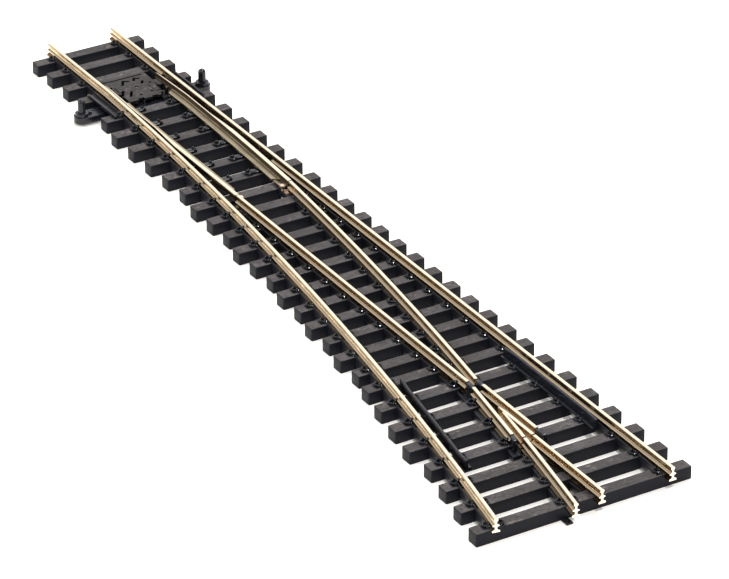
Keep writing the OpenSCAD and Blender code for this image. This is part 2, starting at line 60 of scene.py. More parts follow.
stock_low, stock_high = span("straight_stock_rail")
TOE, LENGTH = stock_low[0], stock_high[0] - stock_low[0]
TOP, FOOT = stock_high[2], stock_low[2]           # rail tops and undersides
RAIL_Y = (stock_low[1] + stock_high[1]) / 2       # centre of the straight stock rail
HEAD = 0.6                                        # width of a rail head
GAUGE_Y = RAIL_Y - HEAD / 2                       # running face of the straight stock rail
RADIUS = 725.0
SET = math.radians(1.7)
SET_X = TOE + 17
CENTRE_X = SET_X - RADIUS * math.sin(SET)
CENTRE_Y = -RADIUS * math.cos(SET)
INNER, OUTER, OUT_FACE = RADIUS - RAIL_Y, RADIUS + RAIL_Y, RADIUS + GAUGE_Y
END_ANGLE = math.asin((TOE + LENGTH - CENTRE_X) / RADIUS)
SLEEPER_TOP = FOOT + 0.35
SLEEPER_W = 1.82
END_STEP = 0.97                                   # sleeper ends grow to the left in steps of this
PITCHES = np.array([4.25, 4.7, 4.45, 6.7] + [4.7] * 6 + [4.29] * 11 + [3.95, 4.55] + [4.8] * 6)
SLEEPER_X = TOE + 2.2 + np.concatenate([[0], np.cumsum(PITCHES)])
GROWTH = np.array([0] * 5 + [1] * 5 + [2, 2, 2, 3, 3, 3, 4, 4, 5, 5, 6, 6, 7, 8, 9, 10, 10, 11, 12, 13])
RIGHT_END = span("sleeper_base")[1][1]
LEFT_END = -(RIGHT_END + END_STEP * GROWTH)
SPRING_FLOOR = SLEEPER_TOP - 0.9
CLOSURE_END = span("straight_closure_rail")[1][0]
CLOSURE_START = span("straight_closure_rail")[0][0]
WING_START, WING_END = span("left_wing_rail")[0][0] + 0.05, span("right_wing_rail")[1][0]
HEEL_START = span("straight_heel_rail")[0][0]
NOSE = span("crossing_nose")[0][0]
BLADE_FOOT = SLEEPER_TOP + 0.35
THROW = 0.88                                      # travel of the tie bar
FLANGEWAY, WALL = 0.85, 0.2                       # gap at a check rail, and half the rail's width
TIE_X = TOE + 18.6                                # middle of the tie bar
rng = np.random.default_rng(9)


def arc_y(radius, x):
    """The curve's height across the track: centre + sqrt(radius^2 - (x - centre)^2)."""
    return CENTRE_Y + np.sqrt(radius ** 2 - (np.asarray(x, float) - CENTRE_X) ** 2)


def turn(radius, x):
    """Angle by which the track has turned to the right at x, on that radius."""
    return np.arcsin((np.asarray(x, float) - CENTRE_X) / radius)


# ---- surfaces -----------------------------------------------------------------------------

class Surface:
    """Closed skins gathered into one mesh: points, faces of four corners, end faces, and for
    each point its place along and round the skin, in millimetres."""

    def __init__(self):
        self.points, self.quads, self.ends, self.along = [], [], [], []
        self.count = 0

    def add(self, points, quads, ends=(), along=None):
        points = np.asarray(points, float).reshape(-1, 3)
        self.points.append(points)
        self.quads.append(np.asarray(quads, int).reshape(-1, 4) + self.count)
        self.ends += [(np.asarray(e, int) + self.count).tolist() for e in ends]
        self.along.append(np.zeros((len(points), 2)) if along is None else along)
        self.count += len(points)
        return self

    def repeat(self, shape, places, turns=None, sizes=None):
        """The points of another surface, turned about Z and moved to each of many places."""
        p, q = np.concatenate(shape.points), np.concatenate(shape.quads)
        places = np.asarray(places, float).reshape(-1, 3)
        turns = np.zeros(len(places)) if turns is None else np.asarray(turns, float)
        sizes = np.ones(len(places)) if sizes is None else np.asarray(sizes, float)
        c, s = np.cos(turns)[:, None], np.sin(turns)[:, None]
        scaled = p[None] * sizes[:, None, None]
        moved = np.stack([scaled[..., 0] * c - scaled[..., 1] * s, scaled[..., 0] * s + scaled[..., 1] * c,
                          scaled[..., 2]], -1) + places[:, None]
        shift = np.arange(len(places)) * len(p)
        ends = [[v + k for v in e] for k in shift.tolist() for e in shape.ends]
        return self.add(moved, q[None] + shift[:, None, None], ends,
                        np.tile(np.concatenate(shape.along), (len(places), 1)))

    def piece(self, name, body, slot, material, stands_for=(), crease=38):
        points = np.concatenate(self.points) / 1000
        mesh = bpy.data.meshes.new(name)
        mesh.from_pydata(points, [], np.concatenate(self.quads).tolist() + self.ends)
        mesh.shade_smooth()
        mesh.set_sharp_from_angle(angle=math.radians(crease))
        corner = np.empty(len(mesh.loops), np.int32)
        mesh.loops.foreach_get("vertex_index", corner)
        uv = np.concatenate(self.along)[corner].astype(np.float32)
        mesh.uv_layers.new(name="run").data.foreach_set("uv", uv.ravel())
        mesh.materials.append(material)
        thing = bpy.data.objects.new(name, mesh)
        bpy.context.scene.collection.objects.link(thing)
        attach(thing, body)
        if stands_for:
            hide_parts(*stands_for)
        return thing


def grid(rows, around, closed=False):
    """Faces between rows of points that go round; closed also joins the last row to the first."""
    i, j = np.meshgrid(np.arange(rows if closed else rows - 1), np.arange(around), indexing="ij")
    k, next_row = (j + 1) % around, (i + 1) % rows
    return np.stack([i * around + j, i * around + k, next_row * around + k, next_row * around + j], -1)


def leftward(n):
    """The direction to the left, once for each place of a path along X."""
    return np.tile([0.0, 1.0], (n, 1))


def carry(surface, profile, path, side):
    """A closed profile (across, up) carried along a path: point = path + across * side + up * Z.
    The profile may change from place to place. It runs anticlockwise seen against the path."""
    path, side = np.asarray(path, float), np.asarray(side, float)
    n = len(path)
    profile = np.broadcast_to(np.asarray(profile, float), (n,) + np.asarray(profile).shape[-2:])
    m = profile.shape[1]
    points = np.zeros((n, m, 3))
    points[..., :2] = path[:, None, :2] + profile[..., :1] * side[:, None, :]
    points[..., 2] = profile[..., 1] + (path[:, None, 2] if path.shape[1] > 2 else 0)
    run = np.concatenate([[0], np.cumsum(np.linalg.norm(np.diff(path[:, :2], axis=0), axis=1))])
    rim = np.concatenate([[0], np.cumsum(np.linalg.norm(np.diff(profile[0], axis=0), axis=1))])
    along = np.stack(np.meshgrid(run, rim, indexing="ij"), -1).reshape(-1, 2)
    return surface.add(points, grid(n, m), [np.arange(m)[::-1], (n - 1) * m + np.arange(m)], along)


def rounded(half_w, low, high, radius, steps=3, flat=1):
    """A rectangle with rounded corners, across and up, anticlockwise from its lower right.
    flat is the number of equal parts in each long side."""
    radius = np.minimum(radius, min(half_w, (high - low) / 2) * 0.98)
    corner = np.radians(np.linspace(-90, 0, steps + 1))
    points = []
    for k, (cx, cz) in enumerate([(half_w - radius, low + radius), (half_w - radius, high - radius),
                                  (-half_w + radius, high - radius), (-half_w + radius, low + radius)]):
        a = corner + k * math.pi / 2
        points.append(np.stack([cx + radius * np.cos(a), cz + radius * np.sin(a)], -1))
        if flat > 1 and k % 2:
            t = np.linspace(0, 1, flat + 1)[1:-1, None]
            far = np.array([-cx, high if k == 1 else low])
            points.append(points[-1][-1] * (1 - t) + far * t)
    return np.concatenate(points)


def bar(surface, x0, x1, y0, y1, z0, z1, radius=0.08, end_radius=None, steps=2, across=1, parts=1,
        wobble=0.0, lengthwise="y", turned=0.0):
    """A bar with rounded edges and softened ends: a rounded rectangle carried along Y (or X),
    drawn in by r - sqrt(r^2 - d^2) within a distance r of each end."""
    if lengthwise == "x":
        a0, a1, b0, b1 = y0, y1, x0, x1
    else:
        a0, a1, b0, b1 = x0, x1, y0, y1
    r = radius if end_radius is None else end_radius
    a = np.radians(np.linspace(0, 90, steps + 1))
    d, inset = r * (1 - np.cos(a)), r * (1 - np.sin(a))
    inner = np.linspace(b0 + r, b1 - r, parts + 1)[1:-1]
    place = np.concatenate([b0 + d, inner, (b1 - d)[::-1]])
    drawn = np.concatenate([inset, np.zeros(len(inner)), inset[::-1]])
    half = (a1 - a0) / 2
    profile = np.stack([rounded(half - k, z0 + k * 0.7, z1 - k, max(radius - k, radius * 0.3), steps, across)
                        for k in drawn])
    middle = (a0 + a1) / 2
    if wobble:
        f = rng.uniform(0, 6.28, 6)
        y, x, z = place[:, None], profile[..., 0], profile[..., 1]
        ripple = (np.sin(x * 9 + f[0] + y * 0.25) + 0.7 * np.sin(x * 17 + f[1] - y * 0.4)
                  + 0.8 * np.sin(y * 0.9 + f[2]) * np.sin(x * 5 + f[3])
                  + 0.5 * np.sin(x * 29 + y * 0.7 + f[4]))
        profile[..., 1] += wobble * ripple * (z > (z0 + z1) / 2)
    if lengthwise == "x":
        path = np.stack([place, np.full(len(place), middle)], -1)
        side = leftward(len(place))
    else:
        path = np.stack([np.full(len(place), middle), place], -1)
        side = np.tile([-1.0, 0.0], (len(place), 1))
    if turned:
        c, s = math.cos(turned), math.sin(turned)
        rot = np.array([[c, -s], [s, c]])
        mid = np.array([(x0 + x1) / 2, (y0 + y1) / 2])
        path = (path - mid) @ rot.T + mid
        side = side @ rot.T
    return carry(surface, profile, path, side)


def dome(surface, x, y, z, radius, height, around=8, rings=3):
    """A domed stud: circles of radius r cos(a) at heights z + h sin(a), closed on top."""
    a = np.radians(np.linspace(0, 78, rings))
    t = np.arange(around) * 2 * math.pi / around
    r = np.concatenate([[radius], radius * np.cos(a)])
    h = np.concatenate([[z - 0.05], z + height * np.sin(a) * 0.98])
    points = np.stack([x + r[:, None] * np.cos(t), y + r[:, None] * np.sin(t),
                       np.repeat(h[:, None], around, 1)], -1)
    last_ring = (len(r) - 1) * around + np.arange(around)
    return surface.add(points, grid(len(r), around), [np.arange(around)[::-1], last_ring])


# ---- shader maths -------------------------------------------------------------------------

class Value:
    """A socket whose operators add Math nodes."""

    def __init__(self, tree, socket):
        self.tree, self.socket = tree, socket

    def _math(self, operation, *terms):
        return self.tree.node("ShaderNodeMath", {"operation": operation}, dict(enumerate(terms)))

    def __add__(self, other): return self._math("ADD", self, other)
    def __sub__(self, other): return self._math("SUBTRACT", self, other)
    def __mul__(self, other): return self._math("MULTIPLY", self, other)
    def __rsub__(self, other): return self._math("SUBTRACT", other, self)
    __radd__, __rmul__ = __add__, __mul__

    def most(self, other): return self._math("MAXIMUM", self, other)
    def size(self): return self._math("ABSOLUTE", self)

    def ramp(self, low, high, to_low=0.0, to_high=1.0):
        """Maps low..high on to_low..to_high along a smooth step, held at both ends."""
        return self.tree.node("ShaderNodeMapRange", {"interpolation_type": "SMOOTHSTEP"},
                              {"Value": self, "From Min": low, "From Max": high,
                               "To Min": to_low, "To Max": to_high})


class Finish:
    """A material's node tree, with one method that makes every node."""

    def __init__(self, name):
        self.material = bpy.data.materials.new(name)
        self.material.use_nodes = True
        self.nodes, self.links = self.material.node_tree.nodes, self.material.node_tree.links
        self.nodes.clear()
        self.shader = self.nodes.new("ShaderNodeBsdfPrincipled")
        out = self.nodes.new("ShaderNodeOutputMaterial")
        self.links.new(self.shader.outputs[0], out.inputs[0])

    def node(self, kind, settings=None, inputs=None, output=0):
        n = self.nodes.new(kind)
        for key, value in (settings or {}).items():
            setattr(n, key, value)
        for key, value in (inputs or {}).items():
            if isinstance(value, Value):
                self.links.new(value.socket, n.inputs[key])
            elif value is not None:
                n.inputs[key].default_value = value
        return Value(self, n.outputs[output])

    def place(self, scale=(1, 1, 1), turned=0.0):
        """Object coordinates in millimetres, stretched by scale."""
        here = self.node("ShaderNodeTexCoord", output="Object")
        return self.node("ShaderNodeMapping", {}, {"Vector": here, "Scale": tuple(1000 * s for s in scale),
                                                   "Rotation": (0, 0, turned)})

    def run(self, scale=(1, 1, 1)):
        """The piece's own lengthwise and crosswise distance, stretched by scale."""
        here = self.node("ShaderNodeUVMap", {"uv_map": "run"})
        return self.node("ShaderNodeMapping", {}, {"Vector": here, "Scale": scale})

    def noise(self, where, scale=1.0, detail=3.0, rough=0.55):
        return self.node("ShaderNodeTexNoise", {}, {"Vector": where, "Scale": scale, "Detail": detail,
                                                    "Roughness": rough})

    def spots(self, where, scale=1.0):
        return self.node("ShaderNodeTexVoronoi", {}, {"Vector": where, "Scale": scale})

    def part(self, vector, axis):
        return self.node("ShaderNodeSeparateXYZ", {}, {"Vector": vector}, output=axis)

    def facing(self, axis):
        """The outward normal's part along an axis."""
        return self.part(self.node("ShaderNodeNewGeometry", output="Normal"), axis)

    def mix(self, a, b, factor):
        """Colour a where factor is 0, b where it is 1."""
        wrap = lambda c: c if isinstance(c, Value) else (*c, 1)
        n = self.nodes.new("ShaderNodeMix")
        n.data_type = "RGBA"
        for key, value in ((0, factor), (6, wrap(a)), (7, wrap(b))):
            if isinstance(value, Value):
                self.links.new(value.socket, n.inputs[key])
            else:
                n.inputs[key].default_value = value
        return Value(self, n.outputs[2])

    def bump(self, height, strength, distance, under=None):
        return self.node("ShaderNodeBump", {}, {"Height": height, "Strength": strength,
                                                "Distance": distance / 1000, "Normal": under})

    def set(self, **sockets):
        for key, value in sockets.items():
            key = key.replace("_", " ")
            if isinstance(value, Value):
                self.links.new(value.socket, self.shader.inputs[key])
            else:
                self.shader.inputs[key].default_value = value
        return self.material


def sleeper_plastic(name, top, side, gloss, grain=1.0):
    """Moulded plastic: fine wood grain and dusty wear on the upward faces, which are also painted
    lighter as light from above, and smooth blue-black sides painted darker as shade.
    """
    f = Finish(name)
    upward = f.facing("Z").ramp(0.55, 0.95)
    fibre = f.noise(f.place((5.5, 0.55, 2.0)), 1.0, 5, 0.62)
    speck = f.noise(f.place((3.2, 2.2, 3.2)), 1.0, 4, 0.65)
    broad = f.noise(f.place((0.16, 0.09, 0.16)), 1.0, 3, 0.5)
    dust = (f.noise(f.place((0.9, 0.6, 0.9)), 1.0, 4, 0.6).ramp(0.52, 0.72) * speck.ramp(0.45, 0.7)) * upward
    # painted light: upward faces take the lighter top colour, the other faces the near-black side colour as
    # painted shade
    tone = f.mix(side, top, upward * (0.62 + 0.38 * fibre.ramp(0.35, 0.68)))
    tone = f.mix(tone, tuple(c * 0.45 for c in top), (1 - broad.ramp(0.38, 0.6)) * 0.6 * upward)
    tone = f.mix(tone, tuple(c * 0.3 for c in top), (1 - speck.ramp(0.36, 0.52)) * 0.7 * upward)
    tone = f.mix(tone, (0.34, 0.31, 0.29), dust * 0.42)
    height = fibre * 0.7 + speck * 0.3
    return f.set(Base_Color=tone, Roughness=gloss + 0.16 * speck + 0.10 * upward - 0.06 * broad,
                 Normal=f.bump(height, 0.35 * grain, 0.05), Specular_IOR_Level=0.12)


def chair_plastic(name, colour, gloss):
    """Glossier moulded plastic, slightly mottled, paler in mottled patches on its upward faces."""
    f = Finish(name)
    mottle = f.noise(f.place((3, 3, 3)), 1.0, 4, 0.6)
    broad = f.noise(f.place((0.25, 0.25, 0.25)), 1.0, 2, 0.5)
    upward = f.facing("Z").ramp(0.6, 1.0)
    tone = f.mix(colour, tuple(min(1, c * 2.1 + 0.012) for c in colour), mottle.ramp(0.4, 0.7) * upward)
    tone = f.mix(tone, tuple(c * 0.5 for c in colour), broad.ramp(0.45, 0.7) * 0.6)
    return f.set(Base_Color=tone, Roughness=gloss + 0.22 * mottle - 0.05 * broad,
                 Normal=f.bump(mottle, 0.15, 0.02), Specular_IOR_Level=0.35)


def rail_metal(name, bright, warm, shade_brown, dark, gloss, high):
    """Rolled nickel silver: top of the head and the cut ends bright, partly polished metal and partly a
    painted highlight; brown painted shade on the head's sides; warm on the web and upper foot, darkened
    by painted shade below the upper foot and where the web meets it; drawing lines along the length
    and small rubbed or stained patches."""
    f = Finish(name)
    lines = f.noise(f.run((0.35, 26, 1)), 1.0, 3, 0.6)
    fine = f.noise(f.run((1.1, 60, 1)), 1.0, 2, 0.6)
    patch = f.noise(f.place((0.35, 0.35, 1.2)), 1.0, 4, 0.62)
    stain = f.spots(f.place((1.3, 1.3, 2.2)), 1.0)
    level = f.part(f.place(), "Z")
    upward, endward = f.facing("Z"), f.facing("X").size().ramp(0.8, 0.97)
    # painted highlight, partly polished metal: the head's top and the cut ends are painted bright
    crown = level.ramp(high - 0.03, high - 0.004) * upward.ramp(0.85, 0.985)
    # painted shade masks: the head's sides, the crease where the web meets the upper foot, and all below the
    # upper foot
    shaded_head_side = level.ramp(high - 0.44, high - 0.34) * (1 - crown) * (1 - endward)
    web_crease_shade = level.ramp(high - 0.83, high - 0.76) * (1 - level.ramp(high - 0.72, high - 0.66)) * (1 - endward)
    under = (1 - level.ramp(high - 1.03, high - 0.97)) * (1 - endward)
    tone = f.mix(warm, bright, (0.25 + 0.75 * patch.ramp(0.35, 0.7)) * 0.25)
    # painted shade: brown on the head's sides, dark below the upper foot and in the web's crease
    tone = f.mix(tone, shade_brown, shaded_head_side * (0.7 + 0.3 * lines))
    tone = f.mix(tone, dark, under * 0.85 + web_crease_shade * 0.45)
    tone = f.mix(tone, dark, (1 - stain.ramp(0.05, 0.3)) * 0.10 * (1 - crown))
    # painted highlight, partly polished metal, on the head's top and the cut ends
    tone = f.mix(tone, bright, (crown * 0.97).most(endward * 0.9))
    tone = f.mix(tone, dark, lines.ramp(0.55, 0.8) * (0.08 + 0.22 * (1 - crown)))
    rough = gloss + 0.06 * lines + 0.06 * patch.ramp(0.4, 0.7) + 0.07 * crown
    return f.set(Base_Color=tone, Metallic=1.0, Roughness=rough,
                 Normal=f.bump(lines * 0.6 + fine * 0.4, 0.12, 0.012))


def sheet_metal(name, light, dull, gloss, edge=None, shade=None, high=0.0):
    """Thin pressed strip: satin, with streaks along the track and darker rubbed marks. With an
    edge colour, the top edge is painted bright, partly bright metal and partly a painted highlight, and the
    upright sides get painted shade."""
    f = Finish(name)
    streak = f.noise(f.place((0.25, 9, 3)), 1.0, 4, 0.6)
    patch = f.noise(f.place((0.7, 1.4, 1)), 1.0, 4, 0.6)
    fleck = f.noise(f.place((7, 9, 7)), 1.0, 2, 0.5)
    tone = f.mix(dull, light, streak.ramp(0.35, 0.65))
    tone = f.mix(tone, tuple(c * 0.5 for c in dull), patch.ramp(0.55, 0.75) * 0.35)
    rough = gloss + 0.2 * streak + 0.1 * fleck
    if edge:
        # painted shade on the upright sides, and a painted highlight, partly bright metal, on the top edge
        upright = 1 - f.facing("Z").ramp(0.3, 0.7)
        crown = f.part(f.place(), "Z").ramp(high - 0.12, high - 0.04)
        tone = f.mix(tone, shade, upright * (0.65 + 0.3 * streak) * (1 - crown))
        tone = f.mix(tone, edge, crown * (0.85 + 0.15 * patch))
        rough = rough - 0.16 * crown - 0.12 * upright
    return f.set(Base_Color=tone, Metallic=1.0, Roughness=rough,
                 Normal=f.bump(streak * 0.7 + fleck * 0.3, 0.2, 0.01))


# sleeper and cover plastics: the lighter top colours are painted light, the near-black side colours painted
# shade
PLASTIC = sleeper_plastic("sleeper_moulding", (0.088, 0.079, 0.079), (0.0070, 0.0080, 0.0118), 0.46)
COVER = sleeper_plastic("cover_moulding", (0.058, 0.052, 0.052), (0.005, 0.0055, 0.008), 0.34, 0.8)
CHAIR = chair_plastic("chair_moulding", (0.0050, 0.0057, 0.0088), 0.05)
RIB = chair_plastic("rib_moulding", (0.0060, 0.0068, 0.0105), 0.30)
BAR = chair_plastic("tie_bar_moulding", (0.0075, 0.0085, 0.013), 0.12)
GUARD = chair_plastic("guard_moulding", (0.0075, 0.0085, 0.0125), 0.10)
# rail colours: the bright one is partly a painted highlight, the brown one painted shade, the dark one
# painted shade and stains
RAIL = rail_metal("nickel_silver_rail", (0.96, 0.85, 0.68), (0.84, 0.65, 0.42), (0.40, 0.265, 0.135),
                  (0.060, 0.036, 0.018), 0.11, TOP)
BLADE = sheet_metal("blade_strip", (0.40, 0.34, 0.24), (0.24, 0.20, 0.135), 0.28, (0.96, 0.85, 0.68),
                    (0.10, 0.065, 0.035), TOP)
CONTACT = sheet_metal("contact_strip", (0.90, 0.74, 0.60), (0.70, 0.52, 0.38), 0.25)
WIRE = sheet_metal("spring_wire", (0.78, 0.78, 0.78), (0.45, 0.45, 0.46), 0.22)


# ---- sleepers and the rest of the moulded base --------------------------------------------

moulding = Surface()
for i, x in enumerate(SLEEPER_X):
    a, b = x - SLEEPER_W / 2, x + SLEEPER_W / 2
    if i == 3:                                   # the spring's sleeper is recessed under its cover
        for y0, y1, top in ((LEFT_END[i], -3.82, SLEEPER_TOP), (-3.9, 3.3, SPRING_FLOOR),
                            (3.22, RIGHT_END, SLEEPER_TOP)):
            bar(moulding, a, b, y0, y1, 0, top, 0.1, 0.12, across=8, parts=10, wobble=0.004)
    else:
        bar(moulding, a, b, LEFT_END[i], RIGHT_END, 0, SLEEPER_TOP, 0.09, 0.16, steps=3, across=10,
            parts=int((RIGHT_END - LEFT_END[i]) / 0.7), wobble=0.005)


def curve_path(radius, x0, x1, step=1.5, end=None):
    """Places on an arc, equal steps of angle, with the direction to the left of travel."""
    a0 = float(turn(radius, x0))
    a1 = float(turn(radius, x1)) if end is None else end
    a = np.linspace(a0, a1, max(2, int(abs(a1 - a0) * radius / step) + 1))
    side = np.stack([np.sin(a), np.cos(a)], -1)
    return np.array([CENTRE_X, CENTRE_Y]) + radius * side, side


def line_path(y, x0, x1, step=40.0):
    x = np.linspace(x0, x1, max(2, int((x1 - x0) / step) + 1))
    return np.stack([x, np.full(len(x), y)], -1), leftward(len(x))


def stock_path(x0, x1, step=1.5):
    """The curved stock rail: straight, then on its arc after a small bend."""
    bend = SET_X - RAIL_Y * math.sin(SET)
    curve, side = curve_path(INNER, bend + 0.4, x1, step, END_ANGLE if x1 >= TOE + LENGTH else None)
    return (np.concatenate([[[x0, -RAIL_Y], [bend - 0.4, -RAIL_Y], [bend, -RAIL_Y + 0.001]], curve]),
            np.concatenate([[[0, 1], [0, 1], [math.sin(SET / 2), math.cos(SET / 2)]], side]))


ribs = Surface()
rib = rounded(0.72, 0.4, FOOT + 0.02, 0.08, 2)
last = SLEEPER_X[-1]
for path in (line_path(RAIL_Y, SLEEPER_X[0], SLEEPER_X[3]), line_path(-RAIL_Y, SLEEPER_X[0], SLEEPER_X[3]),
             line_path(RAIL_Y, SLEEPER_X[4], last), curve_path(INNER, SLEEPER_X[4], last, 4),
             line_path(-RAIL_Y, SLEEPER_X[10], CLOSURE_END), curve_path(OUTER, SLEEPER_X[10], CLOSURE_END, 4),
             line_path(-RAIL_Y, HEEL_START, last), curve_path(OUTER, HEEL_START, last, 4)):
    carry(ribs, rib, *path)
# thin upright edges of the ribs, which hide the lower foot
for offset in (-0.60, 0.60):
    edge = rounded(0.10, FOOT - 0.3, SLEEPER_TOP + 0.26, 0.05, 1) + [offset, 0]
    for path in (line_path(RAIL_Y, SLEEPER_X[0], SLEEPER_X[3] - 1),
                 line_path(-RAIL_Y, SLEEPER_X[0], SLEEPER_X[3] - 1),
                 line_path(RAIL_Y, SLEEPER_X[4], last), curve_path(INNER, SLEEPER_X[4], last, 4)):
        carry(ribs, edge, *path)
    edge = rounded(0.10, FOOT - 0.3, SLEEPER_TOP + 0.12, 0.05, 1) + [offset, 0]
    for path in (line_path(-RAIL_Y, SLEEPER_X[11], SLEEPER_X[22]),
                 curve_path(OUTER, SLEEPER_X[11], SLEEPER_X[22], 4)):
        carry(ribs, edge, *path)
# bed under the crossing
WING_LEFT = OUT_FACE - 0.45 - HEAD / 2
WING_RIGHT_Y = -GAUGE_Y + 0.55 + HEAD / 2
bed = np.linspace(0, 1, 12)
bed_x = CLOSURE_END - 1 + bed * (HEEL_START + 1.6 - CLOSURE_END)
left = -RAIL_Y - 0.9 + bed * (arc_y(WING_LEFT, HEEL_START) - 0.9 - (-RAIL_Y - 0.9))
middle, half = (left + WING_RIGHT_Y + 0.75) / 2, (WING_RIGHT_Y + 0.75 - left) / 2
bed_section = np.stack([rounded(h, 0.5, FOOT + 0.02, 0.1, 2) for h in half])
carry(ribs, bed_section, np.stack([bed_x, middle], -1), leftward(12))
# plates that carry the heel pivots
pins_low, pins_high = span("heel_pivot_pins")
PIVOT_X = (pins_low[0] + pins_high[0]) / 2
PIN_HEAD = 0.37
PIVOT_L, PIVOT_R = pins_low[1] + PIN_HEAD, pins_high[1] - PIN_HEAD
bar(ribs, SLEEPER_X[10], SLEEPER_X[11], PIVOT_R - 0.4, PIVOT_R + 0.35, 0.9, SLEEPER_TOP, 0.06, lengthwise="x")
bar(ribs, SLEEPER_X[10], SLEEPER_X[11], PIVOT_L - 0.35, PIVOT_L + 0.4, 0.9, SLEEPER_TOP, 0.06, lengthwise="x")
# a low dark tab at the heel, level with the floor, beyond the last sleeper
tab_y = float(arc_y(OUTER, last))
bar(ribs, last, last + SLEEPER_W / 2 + 1.3, tab_y - 1.3, tab_y - 0.4, 0, 0.25, 0.06, lengthwise="x")


# ---- rails --------------------------------------------------------------------------------

def rail_section():
    """The double-foot rail, anticlockwise: rounded head, hollow web, upper foot and lower foot."""
    half = [(0.48, FOOT), (0.48, FOOT + 0.20), (0.465, FOOT + 0.24), (0.22, FOOT + 0.32),
            (0.15, FOOT + 0.37), (0.14, TOP - 1.08), (0.17, TOP - 1.02), (0.38, TOP - 0.98),
            (0.415, TOP - 0.95), (0.42, TOP - 0.90), (0.41, TOP - 0.85), (0.36, TOP - 0.81),
            (0.17, TOP - 0.74), (0.115, TOP - 0.66), (0.105, TOP - 0.56), (0.11, TOP - 0.42),
            (0.14, TOP - 0.35), (0.22, TOP - 0.28), (0.25, TOP - 0.24), (0.26, TOP - 0.20),
            (0.265, TOP - 0.10), (0.25, TOP - 0.05), (0.225, TOP - 0.018), (0.185, TOP)]
    half = np.array(half)
    return np.concatenate([half, (half * [-1, 1])[::-1]])


SECTION = rail_section()
UPPER_FOOT = (SECTION[:, 1] > TOP - 1.01) & (SECTION[:, 1] < TOP - 0.72)


def rail(name, path, side, cut=None):
    """A rail on its path. cut = (from, to, sign): between those places along X the upper foot is
    cut back close to the web on that side."""
    section = SECTION
    if cut:
        x0, x1, sign = cut
        for x in (x0 - 0.01, x0 + 0.01, x1 - 0.01, x1 + 0.01):
            k = np.searchsorted(path[:, 0], x)
            t = (x - path[k - 1, 0]) / (path[k, 0] - path[k - 1, 0])
            path = np.insert(path, k, path[k - 1] * (1 - t) + path[k] * t, 0)
            side = np.insert(side, k, side[k - 1] * (1 - t) + side[k] * t, 0)
        section = np.repeat(SECTION[None], len(path), 0)
        inside = (path[:, 0] > x0) & (path[:, 0] < x1)
        foot = UPPER_FOOT & (np.sign(SECTION[:, 0]) == sign)
        section[np.ix_(inside, foot, [0])] = sign * 0.165
    surface = carry(Surface(), section, path, side)
    return surface.piece(name + "_rolled", "base", "rail_metal", RAIL, [name])


cut_from, cut_to = TOE + 15.0, TOE + 45.0
rail("straight_stock_rail", *line_path(RAIL_Y, TOE, TOE + LENGTH, 30), cut=(cut_from, cut_to, -1))
rail("curved_stock_rail", *stock_path(TOE, TOE + LENGTH), cut=(cut_from, cut_to, 1))
rail("straight_closure_rail", *line_path(-RAIL_Y, CLOSURE_START, CLOSURE_END, 30))
rail("curved_closure_rail", *curve_path(OUTER, CLOSURE_START, CLOSURE_END))
rail("left_wing_rail", *curve_path(WING_LEFT, WING_START, span("left_wing_rail")[1][0] - 0.04))
rail("right_wing_rail", *line_path(WING_RIGHT_Y, span("right_wing_rail")[0][0], WING_END, 30))
rail("straight_heel_rail", *line_path(-RAIL_Y, HEEL_START, TOE + LENGTH, 30))
rail("curved_heel_rail", *curve_path(OUTER, HEEL_START, TOE + LENGTH, end=END_ANGLE))

# the nose: two rails run together, both planed to a blunt tip
nose = Surface()
nose_end = span("crossing_nose")[1][0]
x = np.array([NOSE, NOSE + 0.15, NOSE + 1.5, NOSE + 3, nose_end - 0.02])
thin = np.array([0.5, 0.7, 0.9, 1, 1])[:, None]
section = np.repeat(SECTION[None], 5, 0)
section[..., 0] *= thin
section[0, :, 1] -= (SECTION[:, 1] > TOP - 0.3) * 0.08
carry(nose, section, np.stack([x, np.full(5, -RAIL_Y)], -1), leftward(5))
path, side = curve_path(OUTER, NOSE + 1.4, nose_end - 0.06, 1.0)
section = np.repeat(SECTION[None], len(path), 0)
fade = np.clip((path[:, 0] - NOSE - 1.4) / 4, 0, 1)[:, None]
section[..., 0] = np.where(section[..., 0] > 0, section[..., 0] * (0.35 + 0.65 * fade), section[..., 0])
carry(nose, section, path, side)
nose.piece("crossing_nose_planed", "base", "rail_metal", RAIL, ["crossing_nose"])


# ---- chairs -------------------------------------------------------------------------------

def chair_half(reach=1.42, lift=0.0):
    """One side of a chair, its rail to +Y: a low plate, a looped clip whose centreline is half an
    ellipse, and a domed spike head at each foot of the loop."""
    s = Surface()
    bar(s, -0.70, 0.70, 0.46, reach, -0.03, 0.08, 0.05, 0.08, steps=1)
    a = np.radians(np.linspace(0, 180, 7))
    path = np.stack([0.50 * np.cos(a), 0.58 + (reach - 0.73) * np.sin(a), np.full(7, 0.0)], -1)
    out = np.stack([-np.cos(a), -np.sin(a)], -1)
    out /= np.linalg.norm(out, axis=1)[:, None]
    carry(s, rounded(0.11, 0.04, 0.33, 0.08, 1), path, out)
    for x in (-0.46, 0.46):
        dome(s, x, 0.76, 0.08, 0.20, 0.36 + lift, 8, 3)
    bar(s, -0.17, 0.17, 0.40, 0.62, 0.0, 0.33 + lift, 0.06, steps=1)
    return s


def clip_half():
    """The taller chair where the upper foot is held too: the same half with a claw over the foot."""
    s = chair_half(1.42, 0.06)
    bar(s, -0.40, 0.04, 0.20, 0.66, 0.02, 0.70, 0.10, steps=1)
    bar(s, 0.14, 0.46, 0.28, 0.66, 0.02, 0.56, 0.09, steps=1)
    return s


low_chair, claw_chair = chair_half(), clip_half()
chairs = Surface()


